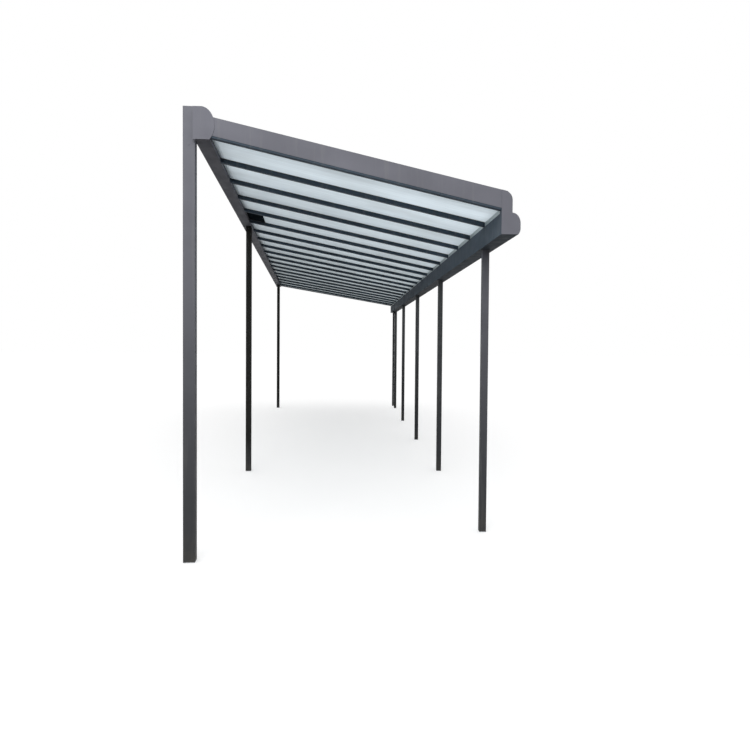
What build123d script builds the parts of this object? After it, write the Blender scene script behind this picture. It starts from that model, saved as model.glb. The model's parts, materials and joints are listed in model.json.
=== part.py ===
from build123d import *
from math import hypot
import os

# Lean-to driveway canopy: an aluminium frame with opal roof panels. A round-nosed profile carries
# the high side on the left, a gutter beam carries the low side on the right, and rafters fall
# from one to the other. All sizes are in millimetres. The model is laid out from the gutter
# beam's inner face (x = 0), the front end (y = 0) and the posts' feet (z = 0), and is moved to
# the middle of its own footprint when it is written.

# Roof plan and levels
length = 12850
end_bay = 642
inner_bay_count = 17
front_clear_width = 2229
rear_clear_width = 2996
gutter_underside = 2552
wall_profile_underside = 3230

# Wall profile section
profile_height = 246
profile_seat_width = 114
profile_nose_reach = 37
profile_nose_height = 105
profile_top_flat = 47
profile_wall = 3
pocket_play = 3
cap_thickness = 4
cap_side_lap = 12

# Gutter beam section
gutter_inner_height = 135
gutter_base_width = 132
gutter_belly_reach = 16
gutter_belly_low = 45
gutter_belly_high = 84
gutter_shoulder_height = 166
gutter_upper_width = 84
gutter_outer_height = 260
gutter_floor_height = 52
gutter_wall = 4
gutter_cap_corner = 76
seat_rail_height = 34
seat_rail_width = 40
seat_rail_wall = 3

# Rafters, panels and cover strips
rafter_width = 50
rafter_depth = 35
rafter_wall = 2.5
rafter_bearing = 30
stem_width = 8
panel_thickness = 16
panel_play = 0.5
panel_side_play = 2
panel_end_play = 0.8
panel_overhang = 38
cover_width = 50
cover_top_width = 30
cover_edge = 4
cover_height = 10
panels_per_group = 7
blanking_bay = 5
blanking_length = 200
blanking_joint = 0.6
infill_thickness = 3

# Edge rafters and fascias
edge_rafter_width = 57
edge_rafter_height = 152
edge_rafter_lift = 18
edge_rafter_wall = 3
edge_groove_depth = 14
edge_bearing = 48
fascia_thickness = 3
fascia_lip = 14
fascia_depth = 140

# Posts with their shoes and the front post's lid
corner_post_size = 90
corner_post_setback = 30
corner_post_rise = 10
left_post_size = 70
right_post_size = 60
post_wall = 3
right_post_inset = 26
first_post_setback = 842
last_post_setback = 680
right_post_count = 5
shoe_plate = 6
shoe_stub_height = 60
lid_plate = 3
lid_stub_height = 20
stub_play = 0.3

# Rain pipe beside the last right post
pipe_diameter = 50
pipe_wall = 2
pipe_foot_gap = 60
outlet_diameter = 56
outlet_height = 45
clip_band = 2.5
clip_height = 24
clip_levels = (620, 1900)

# Shared clearance and angle
seat_gap = 0.3
quarter_turn = 90

inner_bay = (length - 2 * end_bay) / inner_bay_count
seat_level = gutter_underside + gutter_inner_height + seat_rail_height
roof_rise = wall_profile_underside - seat_level
stem_height = panel_thickness + 2 * panel_play
rafter_full_depth = rafter_depth + stem_height
pocket_height = rafter_full_depth + cover_height + pocket_play
fascia_top = edge_rafter_lift + edge_rafter_height + fascia_thickness
corner_post_top = wall_profile_underside + profile_height + corner_post_rise
tall = wall_profile_underside + corner_post_top
rafter_lines = [end_bay + index * inner_bay for index in range(inner_bay_count + 1)]
post_spacing = (length - first_post_setback - last_post_setback) / (right_post_count - 1)
right_post_lines = [first_post_setback + index * post_spacing for index in range(right_post_count)]
left_post_lines = [right_post_lines[1], right_post_lines[-1]]
pipe_margin = (gutter_base_width - outlet_diameter - seat_gap - right_post_size) / 2
pipe_x = pipe_margin + outlet_diameter / 2
last_post_inset = pipe_margin + outlet_diameter + seat_gap
wall_direction = Vector(-(rear_clear_width - front_clear_width), length, 0).normalized()
wall_turn = Vector(0, 1, 0).get_signed_angle(wall_direction, Vector(0, 0, 1))
wall_path_length = hypot(rear_clear_width - front_clear_width, length)


def wall_face_x(y):
    """Where the wall profile's inner face stands at the distance y from the front."""
    return -(front_clear_width + (rear_clear_width - front_clear_width) * y / length)


def roof_slope(y):
    """Fall of the roof across its width, as a ratio, at the distance y from the front."""
    return roof_rise / -wall_face_x(y)


def closed_face(plane, points):
    """A flat face whose corners are points in the plane's own coordinates."""
    return plane * make_face(Polyline(*points, close=True))


def bay_plan(right_x, left_gap=0.0):
    """A tall block over the roof's plan, from the wall profile's face to right_x."""
    corners = [
        (wall_face_x(0) + left_gap, 0),
        (right_x, 0),
        (right_x, length),
        (wall_face_x(length) + left_gap, length),
    ]
    return extrude(closed_face(Plane.XY, corners), tall)


def sloped_bar(section, y, slope, right_x):
    """A bar across the canopy at y that falls with the slope. Its section is drawn in y and z
    about the rafters' underside. Its ends stand upright, and the left one is left long for a
    later cut."""
    run = right_x - wall_face_x(y) + profile_height
    start = Plane(origin=(right_x, y, seat_level - slope * right_x), x_dir=(0, 1, 0), z_dir=(1, 0, 0))
    return extrude(start * section, run * hypot(1, slope), dir=(-1, 0, slope))


def profile_outline(inset=0.0):
    """The round-nosed outline of the wall profile, drawn in from its skin by the inset: flat
    back, flat top and underside, an elliptical shoulder and a tighter arc under the nose. Its
    corner is at the lower left."""
    nose_x = profile_seat_width + profile_nose_reach - inset
    top = profile_height - inset
    shoulder = EllipticalCenterArc(
        (profile_top_flat, profile_nose_height),
        nose_x - profile_top_flat,
        top - profile_nose_height,
        start_angle=0,
        arc_size=quarter_turn,
    )
    seat_corner = (profile_seat_width - inset, inset)
    chin = TangentArc((nose_x, profile_nose_height), seat_corner, tangent=(0, -1))
    sides = Polyline(seat_corner, (inset, inset), (inset, top), (profile_top_flat, top))
    return make_face(Wire([shoulder, chin, *sides.edges()]))


def profile_plane(y):
    """Upright plane across the canopy at y, with its corner at the wall profile's lower left."""
    corner = (wall_face_x(y) - profile_seat_width, y, wall_profile_underside)
    return Plane(origin=corner, x_dir=(1, 0, 0), z_dir=(0, -1, 0))


def profile_body(inset=0.0):
    """The wall profile's section: the outline with a pocket under the nose for the rafters."""
    pocket = Pos(profile_seat_width - inset, -profile_seat_width) * Rectangle(
        2 * profile_nose_reach,
        profile_seat_width + pocket_height + inset,
        align=(Align.MIN, Align.MIN),
    )
    return profile_outline(inset) - pocket


def along_wall(section):
    """Carry a section that stands across the front end along the wall line to the rear end."""
    return extrude(profile_plane(0) * section, wall_path_length, dir=wall_direction)


def make_wall_profile():
    """Hollow carrying profile of the high side."""
    return along_wall(profile_body() - profile_body(profile_wall))


def make_wall_profile_caps():
    """Flat end caps with the full round-nosed outline, lapping over the corner post."""
    lap = Rectangle(cap_side_lap, profile_height, align=(Align.MAX, Align.MIN))
    outline = profile_outline() + lap
    front = extrude(profile_plane(0) * outline, cap_thickness)
    rear = extrude(profile_plane(length) * outline, -cap_thickness)
    return [front, rear]


def gutter_outline(inset=0.0):
    """Outline of the gutter beam below its upper wall, drawn in from its skin by the inset: a
    flat base, a belly towards the outside and an elliptical shoulder."""
    belly_x = gutter_base_width + gutter_belly_reach - inset
    top = gutter_shoulder_height - inset
    shoulder = EllipticalCenterArc(
        (gutter_upper_width, gutter_belly_high),
        belly_x - gutter_upper_width,
        top - gutter_belly_high,
        start_angle=0,
        arc_size=quarter_turn,
    )
    base_corner = (gutter_base_width - inset, inset)
    belly = Line((belly_x, gutter_belly_high), (belly_x, gutter_belly_low))
    chin = TangentArc((belly_x, gutter_belly_low), base_corner, tangent=(0, -1))
    sides = Polyline(base_corner, (inset, inset), (inset, top), (gutter_upper_width, top))
    return make_face(Wire([shoulder, belly, chin, *sides.edges()]))


def gutter_plane(y):
    """Upright plane across the canopy at y, with its corner at the gutter's lower inner edge."""
    return Plane(origin=(0, y, gutter_underside), x_dir=(1, 0, 0), z_dir=(0, -1, 0))


def make_gutter_beam():
    """Gutter beam: a closed lower chamber, the open channel above it, a low inner wall that
    carries the seat rail and a high outer wall that hides the rafter ends."""
    upper_wall = Pos(0, gutter_belly_high) * Rectangle(
        gutter_upper_width, gutter_outer_height - gutter_belly_high, align=(Align.MIN, Align.MIN)
    )
    outer = gutter_outline() + upper_wall
    channel = Pos(gutter_wall, gutter_floor_height) * Rectangle(
        gutter_upper_width - 2 * gutter_wall,
        gutter_outer_height,
        align=(Align.MIN, Align.MIN),
    )
    above_inner_wall = Pos(0, gutter_inner_height) * Rectangle(
        2 * gutter_wall, gutter_outer_height, align=(Align.CENTER, Align.MIN)
    )
    beside_chamber = Pos(0, gutter_floor_height - gutter_wall) * Rectangle(
        gutter_upper_width, gutter_outer_height, align=(Align.MIN, Align.MIN)
    )
    chamber = gutter_outline(gutter_wall) - beside_chamber
    flange = Pos(0, gutter_inner_height - gutter_wall) * Rectangle(
        seat_rail_width, gutter_wall, align=(Align.MIN, Align.MIN)
    )
    section = outer - channel - above_inner_wall - chamber + flange
    return extrude(gutter_plane(0) * section, -length)


def gutter_cap_outline(y):
    """Outline of the gutter's end cap: the gutter's own outline below, then up past the outer
    wall to the line of the fascia, with a rounded outer corner."""
    top_inner = seat_level + fascia_top - gutter_underside
    top_outer = top_inner - roof_slope(y) * gutter_upper_width
    upper = make_face(
        Polyline(
            (0, gutter_belly_high),
            (gutter_upper_width, gutter_belly_high),
            (gutter_upper_width, top_outer),
            (0, top_inner),
            close=True,
        )
    )
    corner = upper.vertices().sort_by(Axis.X)[-2:].sort_by(Axis.Y)[-1]
    return gutter_outline() + fillet(corner, gutter_cap_corner)


def make_gutter_caps():
    """End caps that close the gutter beam and cover the ends of the fascias."""
    front = extrude(gutter_plane(0) * gutter_cap_outline(0), cap_thickness)
    rear = extrude(gutter_plane(length) * gutter_cap_outline(length), -cap_thickness)
    return [front, rear]


def make_seat_rail():
    """Box rail on the gutter's inner wall that the rafters rest on."""
    outer = Pos(0, gutter_inner_height) * Rectangle(
        seat_rail_width, seat_rail_height, align=(Align.MIN, Align.MIN)
    )
    section = outer - offset(outer, -seat_rail_wall, kind=Kind.INTERSECTION)
    return extrude(gutter_plane(0) * section, -length)


def make_infill_strips():
    """Strips on the seat rail that close the gaps under the panels between the rafters."""
    height = rafter_depth + panel_play - roof_slope(0) * infill_thickness - seat_gap
    edge_face = fascia_thickness + edge_rafter_width
    half = rafter_width / 2
    starts = [edge_face] + [y + half for y in rafter_lines]
    ends = [y - half for y in rafter_lines] + [length - edge_face]
    strips = []
    for start, end in zip(starts, ends):
        strip = Box(
            infill_thickness,
            end - start - 2 * seat_gap,
            height,
            align=(Align.MIN, Align.MIN, Align.MIN),
        )
        strips.append(Pos(0, start + seat_gap, seat_level) * strip)
    return strips


def make_rafter(y):
    """One rafter: a box tube with a stem on top that parts the panels. Its left end is cut to
    the skew of the wall profile, and its right end is cut level where it rests."""
    tube = Pos(0, rafter_depth / 2) * Rectangle(rafter_width, rafter_depth)
    hollow = offset(tube, -rafter_wall, kind=Kind.INTERSECTION)
    stem = Pos(0, rafter_depth - rafter_wall) * Rectangle(
        stem_width, rafter_wall + stem_height, align=(Align.CENTER, Align.MIN)
    )
    bar = sloped_bar(tube + stem - hollow, y, roof_slope(y), rafter_bearing) & bay_plan(rafter_bearing)
    below_seat = Pos(0, y, seat_level) * Box(
        2 * rafter_bearing, 2 * rafter_width, rafter_depth, align=(Align.MIN, Align.CENTER, Align.MAX)
    )
    return bar - below_seat


def panel_section(y, left_x, right_x):
    """Upright slice of a roof panel at y, between left_x and right_x."""
    slope = roof_slope(y)
    underside = seat_level + rafter_depth + panel_play
    corners = [
        (left_x, underside - slope * left_x),
        (right_x, underside - slope * right_x),
        (right_x, underside - slope * right_x + panel_thickness),
        (left_x, underside - slope * left_x + panel_thickness),
    ]
    plane = Plane(origin=(0, y, 0), x_dir=(1, 0, 0), z_dir=(0, -1, 0))
    return closed_face(plane, corners)


def bay_limits(bay):
    """Front and rear edge of the panel in a bay, counted from 0 at the front."""
    edge_line = fascia_thickness + edge_rafter_width - edge_groove_depth + panel_side_play
    stem_line = stem_width / 2 + panel_side_play
    front = edge_line if bay == 0 else rafter_lines[bay - 1] + stem_line
    rear = length - edge_line if bay == len(rafter_lines) else rafter_lines[bay] - stem_line
    return front, rear


def make_sheet(bay, left_inset, right_inset):
    """A roof sheet in a bay. It is ruled between its two edges, which differ a little in pitch.
    The insets are distances from the wall face and, where given, the length of the sheet."""
    slices = []
    for y in bay_limits(bay):
        left_x = wall_face_x(y) + left_inset
        right_x = panel_overhang if right_inset is None else wall_face_x(y) + right_inset
        slices.append(panel_section(y, left_x, right_x))
    return loft(slices, ruled=True)


def make_panel(bay):
    """An opal panel. The one beside the blanking sheet starts where that sheet ends."""
    inset = panel_end_play
    if bay == blanking_bay - 1:
        inset = blanking_length + blanking_joint
    return make_sheet(bay, inset, None)


def make_blanking_sheet():
    """Opaque sheet at the wall end of one bay, in the plane of the panels."""
    return make_sheet(blanking_bay - 1, panel_end_play, blanking_length)


def make_cover_strip(y):
    """Strip over a rafter's stem that holds the edges of two panels down. Its sides lean in to
    a narrower flat top."""
    half = cover_width / 2
    half_top = cover_top_width / 2
    section = make_face(
        Polyline(
            (-half, rafter_full_depth),
            (half, rafter_full_depth),
            (half, rafter_full_depth + cover_edge),
            (half_top, rafter_full_depth + cover_height),
            (-half_top, rafter_full_depth + cover_height),
            (-half, rafter_full_depth + cover_edge),
            close=True,
        )
    )
    bar = sloped_bar(section, y, roof_slope(y), panel_overhang)
    return bar & bay_plan(panel_overhang, panel_end_play)


def edge_outline():
    """Outline of the front edge rafter in y and z: tall, a little higher than the rafters, with
    a groove for the panel in its inner face. The rear one is its mirror image."""
    outer = Pos(fascia_thickness, edge_rafter_lift) * Rectangle(
        edge_rafter_width, edge_rafter_height, align=(Align.MIN, Align.MIN)
    )
    groove = Pos(fascia_thickness + edge_rafter_width, rafter_depth) * Rectangle(
        2 * edge_groove_depth, stem_height, align=(Align.CENTER, Align.MIN)
    )
    return outer - groove


def fascia_section():
    """Folded fascia in y and z: a face, a flange over the edge rafter and a short lip."""
    flange_reach = edge_rafter_width + 2 * fascia_thickness
    face = Pos(0, fascia_top) * Rectangle(
        fascia_thickness, fascia_depth, align=(Align.MIN, Align.MAX)
    )
    flange = Pos(0, fascia_top) * Rectangle(
        flange_reach, fascia_thickness, align=(Align.MIN, Align.MAX)
    )
    lip = Pos(flange_reach, fascia_top) * Rectangle(
        fascia_thickness, fascia_lip, align=(Align.MAX, Align.MAX)
    )
    return face + flange + lip


def edge_bar(section, at_rear):
    """A bar along the front or rear edge that falls as the edge of its panel does, cut to the
    wall face and clear of the nose."""
    y = length if at_rear else 0
    panel_edge = bay_limits(len(rafter_lines))[1] if at_rear else bay_limits(0)[0]
    profile = mirror(section, Plane.YZ) if at_rear else section
    bar = sloped_bar(profile, y, roof_slope(panel_edge), edge_bearing)
    return (bar & bay_plan(edge_bearing)) - along_wall(profile_body(-seat_gap))


def above_rail(left_x, right_x):
    """A block from the seat rail's top upwards, between two distances from the gutter's face."""
    return Pos(left_x, 0, seat_level) * Box(
        right_x - left_x, length, tall, align=(Align.MIN, Align.MIN, Align.MIN)
    )


def make_edge_rafter(at_rear):
    """Edge rafter of one end: a tube, a plate that closes its low end, and a foot under it that
    is cut level where it rests on the seat rail."""
    outline = edge_outline()
    hollow = offset(outline, -edge_rafter_wall, kind=Kind.INTERSECTION)
    foot_outline = Pos(fascia_thickness, 0) * Rectangle(
        edge_rafter_width, edge_rafter_lift + edge_rafter_wall, align=(Align.MIN, Align.MIN)
    )
    tube = edge_bar(outline - hollow, at_rear)
    end_plate = edge_bar(outline, at_rear) & above_rail(edge_bearing - edge_rafter_wall, edge_bearing)
    foot = edge_bar(foot_outline, at_rear) & above_rail(0, seat_rail_width)
    return tube + end_plate + foot


def make_fascia(at_rear):
    """Folded fascia of one end."""
    return edge_bar(fascia_section(), at_rear)


def make_post(size, height):
    """Square post tube that stands on its shoe plate, about its own middle."""
    tube = Rectangle(size, size) - Rectangle(size - 2 * post_wall, size - 2 * post_wall)
    return Pos(0, 0, shoe_plate) * extrude(tube, height - shoe_plate)


def make_plug(size, plate_thickness, stub_height):
    """A square plate as wide as a post with a stub that stands inside the post's tube. It is
    the post's shoe, and turned over it is the post's lid."""
    stub = size - 2 * post_wall - 2 * stub_play
    plate = Box(size, size, plate_thickness, align=(Align.CENTER, Align.CENTER, Align.MIN))
    stub_tube = Rectangle(stub, stub) - Rectangle(stub - 2 * post_wall, stub - 2 * post_wall)
    return plate + Pos(0, 0, plate_thickness) * extrude(stub_tube, stub_height)


def make_shoe(size):
    """Shoe under a post of the given size."""
    return make_plug(size, shoe_plate, shoe_stub_height)


def corner_post_place():
    """Place of the front left post: beside the wall profile, square to the wall line."""
    face_x = wall_face_x(0) - profile_seat_width
    along = corner_post_setback + corner_post_size / 2
    on_wall = Location((face_x, 0, 0), (0, 0, wall_turn))
    return on_wall * Pos(-corner_post_size / 2, along, 0)


def left_post_place(y):
    """Place of a left post: under the wall profile, flush with the profile's inner face."""
    on_wall = Location((wall_face_x(y), y, 0), (0, 0, wall_turn))
    return on_wall * Pos(-left_post_size / 2, 0, 0)


def right_post_place(y):
    """Place of a right post under the gutter beam. The last one stands further out, to leave
    room for the rain pipe beside it."""
    inset = last_post_inset if y == right_post_lines[-1] else right_post_inset
    return Pos(inset + right_post_size / 2, y, 0)


def make_shoes():
    """The shoes of all posts, in the order corner, left, right."""
    shoes = [corner_post_place() * make_shoe(corner_post_size)]
    shoes += [left_post_place(y) * make_shoe(left_post_size) for y in left_post_lines]
    shoes += [right_post_place(y) * make_shoe(right_post_size) for y in right_post_lines]
    return shoes


def pipe_place():
    """Place of the rain pipe, beside the last right post. Pipe and post together stand under
    the middle of the gutter's base."""
    return Pos(pipe_x, right_post_lines[-1], 0)


def make_downpipe():
    """Rain pipe with the wider outlet collar that meets the gutter's underside."""
    radius = pipe_diameter / 2
    pipe = Pos(0, 0, pipe_foot_gap) * extrude(Circle(radius), gutter_underside - pipe_foot_gap)
    collar = Pos(0, 0, gutter_underside - outlet_height) * extrude(
        Circle(outlet_diameter / 2), outlet_height
    )
    bore = extrude(Circle(radius - pipe_wall), gutter_underside)
    return pipe_place() * (pipe + collar - bore)


def make_pipe_clips():
    """Round clips that hold the rain pipe to the post."""
    inner = pipe_diameter / 2 + seat_gap
    band = Circle(inner + clip_band) - Circle(inner)
    tab = Pos(inner, 0) * Rectangle(
        last_post_inset - pipe_x - inner, 2 * clip_band, align=(Align.MIN, Align.CENTER)
    )
    ring = extrude(band + tab, clip_height)
    return [pipe_place() * Pos(0, 0, level) * ring for level in clip_levels]


def make_corner_lid():
    """Lid on the corner post, whose top stands a little over the wall profile."""
    lid = make_plug(corner_post_size, lid_plate, lid_stub_height)
    return corner_post_place() * Location((0, 0, corner_post_top), (2 * quarter_turn, 0, 0)) * lid


nodes = {
    "wall_profile": [make_wall_profile()],
    "wall_profile_caps": make_wall_profile_caps(),
    "gutter_beam": [make_gutter_beam()],
    "gutter_caps": make_gutter_caps(),
    "eaves_seat_rail": [make_seat_rail()],
    "eaves_infill_strips": make_infill_strips(),
    "front_edge_rafter": [make_edge_rafter(False)],
    "rear_edge_rafter": [make_edge_rafter(True)],
    "front_fascia": [make_fascia(False)],
    "rear_fascia": [make_fascia(True)],
    "blanking_sheet": [make_blanking_sheet()],
    "cover_strips": [make_cover_strip(y) for y in rafter_lines],
    "front_left_post": [
        corner_post_place() * make_post(corner_post_size, corner_post_top - lid_plate)
    ],
    "corner_post_lid": [make_corner_lid()],
    "middle_left_post": [
        left_post_place(left_post_lines[0]) * make_post(left_post_size, wall_profile_underside)
    ],
    "rear_left_post": [
        left_post_place(left_post_lines[1]) * make_post(left_post_size, wall_profile_underside)
    ],
    "post_shoes": make_shoes(),
    "downpipe": [make_downpipe()],
    "downpipe_clips": make_pipe_clips(),
}
for number, y in enumerate(rafter_lines, start=1):
    nodes[f"rafter_{number:02d}"] = [make_rafter(y)]
for number, y in enumerate(right_post_lines, start=1):
    nodes[f"right_post_{number}"] = [right_post_place(y) * make_post(right_post_size, gutter_underside)]
bay_count = len(rafter_lines) + 1
for number, first in enumerate(range(0, bay_count, panels_per_group), start=1):
    bays = range(first, min(first + panels_per_group, bay_count))
    nodes[f"roof_panels_{number}"] = [make_panel(bay) for bay in bays]

# Move everything from the layout corner to the middle of the footprint and write it.
left_limit = wall_face_x(length) - profile_seat_width - cap_side_lap
right_limit = gutter_base_width + gutter_belly_reach
to_middle = Pos(-(left_limit + right_limit) / 2, -length / 2, 0)
os.makedirs("parts", exist_ok=True)
for name, solids in nodes.items():
    placed = [to_middle * solid for item in solids for solid in item.solids()]
    shape = placed[0] if len(placed) == 1 else Compound(children=placed)
    export_step(shape, f"parts/{name}.step")
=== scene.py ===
"""Looks of a lean-to canopy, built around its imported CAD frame.

The canopy stands on posts. A round-nosed wall profile carries the high side, a gutter beam the
low side, and rafters with opal ribbed sheets between them fall from one to the other. This file
gives every surface its finish and adds what the frame leaves out: the ribbed sheets, gaskets,
screws, seals, plugs and the gutter's strainer.

Sizes are in metres. The sub-assemblies are laid out as the frame's own drawing is: x from the
gutter beam's inner face, y from the front end and z from the posts' feet. RoofPlan.placed
moves points from there into the shared frame.
"""
import json
import logging
from collections.abc import Sequence
from dataclasses import dataclass
from enum import Enum

import bmesh
import bpy
import numpy as np
from mathutils import Matrix, Vector
from numpy.typing import NDArray


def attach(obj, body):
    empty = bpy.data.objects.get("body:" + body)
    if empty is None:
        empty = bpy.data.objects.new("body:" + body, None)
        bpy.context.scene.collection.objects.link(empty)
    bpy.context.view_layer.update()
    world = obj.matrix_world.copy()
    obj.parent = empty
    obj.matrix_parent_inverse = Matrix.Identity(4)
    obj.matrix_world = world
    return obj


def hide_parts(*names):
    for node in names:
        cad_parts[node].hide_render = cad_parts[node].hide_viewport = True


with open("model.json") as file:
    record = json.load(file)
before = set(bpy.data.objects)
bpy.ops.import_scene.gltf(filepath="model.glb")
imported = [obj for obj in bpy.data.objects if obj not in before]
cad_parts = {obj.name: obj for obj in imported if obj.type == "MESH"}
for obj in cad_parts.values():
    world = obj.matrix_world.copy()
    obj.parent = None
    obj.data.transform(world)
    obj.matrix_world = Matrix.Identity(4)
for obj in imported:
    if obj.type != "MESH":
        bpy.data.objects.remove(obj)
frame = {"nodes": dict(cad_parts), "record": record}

LOG = logging.getLogger("canopy")
SMOOTH_BELOW = np.radians(35)
HEAD_SIDES = 12
SHEET_UV = "along_sheet"
MIX_COLOURS = (6, 7)
MIX_RESULT = 2

Array = NDArray[np.float64]
Values = Array | float
Corners = NDArray[np.int64]
Socket = bpy.types.NodeSocket
Sockets = bpy.types.NodeOutputs
Pair = tuple[float, float]
Triple = tuple[float, float, float]
Colour = Triple


class Slot(Enum):
    """The record's material slots."""

    FRAME = "frame_coat"
    RAFTER = "rafter_coat"
    POST = "post_coat"
    PIPE = "pipe_coat"
    TRIM = "pale_trim"
    SHOE = "shoe_metal"
    PANEL = "opal_panel"


class Head(Enum):
    """Kinds of screw head."""

    HEXAGON = "hexagon"
    FLAT = "flat"
    DOME = "dome"


# Skins: closed surfaces worked out as whole arrays of points.


@dataclass(frozen=True)
class Skin:
    """Points and faces of closed surfaces. Faces with one number of corners share an array."""

    points: Array
    faces: tuple[Corners, ...]

    @staticmethod
    def joined(skins: Sequence["Skin"]) -> "Skin":
        """Put several skins into one.

        Args:
            skins: The skins, in any order.

        Returns:
            One skin, with each skin's corner numbers moved on by the points before it.
        """
        starts = np.cumsum([0] + [len(skin.points) for skin in skins[:-1]])
        faces = [group + start for skin, start in zip(skins, starts) for group in skin.faces]
        return Skin(np.concatenate([skin.points for skin in skins]), tuple(faces))


def prisms(near: Array, far: Array) -> Skin:
    """Bars between pairs of end sections.

    A bar's side is near + t (far - near) at each corner, with t from 0 to 1, and each end is one
    flat face.

    Args:
        near: Corners of the near sections, as bars by corners by 3.
        far: Corners of the far sections, in the same order.

    Returns:
        The closed bars.
    """
    bars, corners = near.shape[:2]
    first = np.arange(bars)[:, None] * 2 * corners
    here = np.arange(corners)[None, :]
    following = (here + 1) % corners
    sides = np.stack(
        [first + here, first + following, first + corners + following, first + corners + here],
        axis=-1,
    )
    ends = np.concatenate([first + here[:, ::-1], first + corners + here])
    points = np.concatenate([near, far], axis=1).reshape(-1, 3)
    return Skin(points, (sides.reshape(-1, 4), ends))


def turned(profile: Array, centres: Array, normals: Array, sides: int, hexagonal: int = 0) -> Skin:
    """Copies of one turned shape.

    point(u, v) = centre + h(u) n + k(v) r(u) (cos v a + sin v b), where n is the copy's axis, a
    and b stand square to it, and k is 1. On the last rows of a hexagonal head k is 1 over the
    cosine of the angle to the nearest flat's middle, which draws a hexagon.

    Args:
        profile: Rows of radius and height, from the foot to the top.
        centres: Where each copy's axis starts, as copies by 3.
        normals: Direction of each copy's axis, as copies by 3.
        sides: Points round the axis.
        hexagonal: How many of the last rows are hexagons.

    Returns:
        The closed copies.
    """
    axis = normals / np.linalg.norm(normals, axis=1, keepdims=True)
    helper = np.where(np.abs(axis[:, 2:]) > 0.9, [[0.0, 1.0, 0.0]], [[0.0, 0.0, 1.0]])
    across = np.cross(helper, axis)
    across /= np.linalg.norm(across, axis=1, keepdims=True)
    beside = np.cross(axis, across)
    angle = np.arange(sides) * 2 * np.pi / sides
    sixth = np.pi / 3
    flat = 1 / np.cos((angle + sixth / 2) % sixth - sixth / 2)
    rows = len(profile)
    stretch = np.where(np.arange(rows)[:, None] >= rows - hexagonal, flat[None, :], 1.0)
    radius = profile[:, :1] * stretch
    ring = (
        (radius * np.cos(angle))[None, ..., None] * across[:, None, None, :]
        + (radius * np.sin(angle))[None, ..., None] * beside[:, None, None, :]
    )
    rise = profile[None, :, 1, None, None] * axis[:, None, None, :]
    points = (centres[:, None, None, :] + ring + rise).reshape(-1, 3)
    start = np.arange(len(centres))[:, None, None] * rows * sides
    row = np.arange(rows - 1)[None, :, None] * sides
    here = np.arange(sides)[None, None, :]
    following = (here + 1) % sides
    low, high = start + row, start + row + sides
    quads = np.stack([low + here, low + following, high + following, high + here], axis=-1)
    foot = start[:, :, 0] + here[0, :, ::-1]
    top = start[:, :, 0] + (rows - 1) * sides + here[0]
    return Skin(points, (quads.reshape(-1, 4), np.concatenate([foot, top])))


def screws(head: Head, centres: Array, normals: Array, size: float) -> Skin:
    """Screw heads, each a turned profile: a hexagon on a washer, a low disc or a dome.

    Args:
        head: Kind of head.
        centres: Where each head sits, as screws by 3.
        normals: Direction away from the surface, as screws by 3.
        size: Radius of the washer or the head.

    Returns:
        The closed heads.
    """
    washer = [(0.9, 0.0), (1, 0.06), (1, 0.18), (0.62, 0.28)]
    hexagon = [(0.58, 0.3), (0.58, 0.75), (0.5, 0.85)]
    profiles = {
        Head.HEXAGON: washer + hexagon,
        Head.FLAT: [(1, 0.0), (1, 0.1), (0.92, 0.18), (0.4, 0.2)],
        Head.DOME: [(1, 0.0), (0.98, 0.12), (0.84, 0.3), (0.55, 0.42), (0.2, 0.46)],
    }
    flats = len(hexagon) if head is Head.HEXAGON else 0
    return turned(np.array(profiles[head]) * size, centres, normals, HEAD_SIDES, flats)


def make_piece(
    name: str,
    skin: Skin,
    finish: bpy.types.Material,
    uv: Array | None = None,
) -> bpy.types.Object:
    """Turn a skin into a piece of the canopy.

    Args:
        name: The piece's name.
        skin: Its points, already in the shared frame, and its faces.
        finish: Its material.
        uv: Two surface coordinates for each point, where the finish follows the surface.

    Returns:
        The finished object, which rides on the canopy.
    """
    mesh = bpy.data.meshes.new(name)
    totals = np.concatenate([np.full(len(group), group.shape[1]) for group in skin.faces])
    loops = np.concatenate([group.ravel() for group in skin.faces]).astype(np.int32)
    starts = np.concatenate([[0], np.cumsum(totals)[:-1]]).astype(np.int32)
    mesh.vertices.add(len(skin.points))
    mesh.vertices.foreach_set("co", skin.points.astype(np.float32).ravel())
    mesh.loops.add(len(loops))
    mesh.loops.foreach_set("vertex_index", loops)
    mesh.polygons.add(len(totals))
    mesh.polygons.foreach_set("loop_start", starts)
    mesh.update(calc_edges=True)
    if uv is not None:
        layer = mesh.uv_layers.new(name=SHEET_UV)
        layer.data.foreach_set("uv", uv[loops].astype(np.float32).ravel())
    work = bmesh.new()
    work.from_mesh(mesh)
    bmesh.ops.recalc_face_normals(work, faces=work.faces)
    work.to_mesh(mesh)
    work.free()
    mesh.polygons.foreach_set("use_smooth", np.ones(len(mesh.polygons), bool))
    mesh.set_sharp_from_angle(angle=SMOOTH_BELOW)
    mesh.materials.append(finish)
    piece = bpy.data.objects.new(name, mesh)
    bpy.context.scene.collection.objects.link(piece)
    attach(piece, "root")
    LOG.info("%s: %d faces", name, len(mesh.polygons))
    return piece


# The plan: the lines that the canopy's pieces share.


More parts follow.
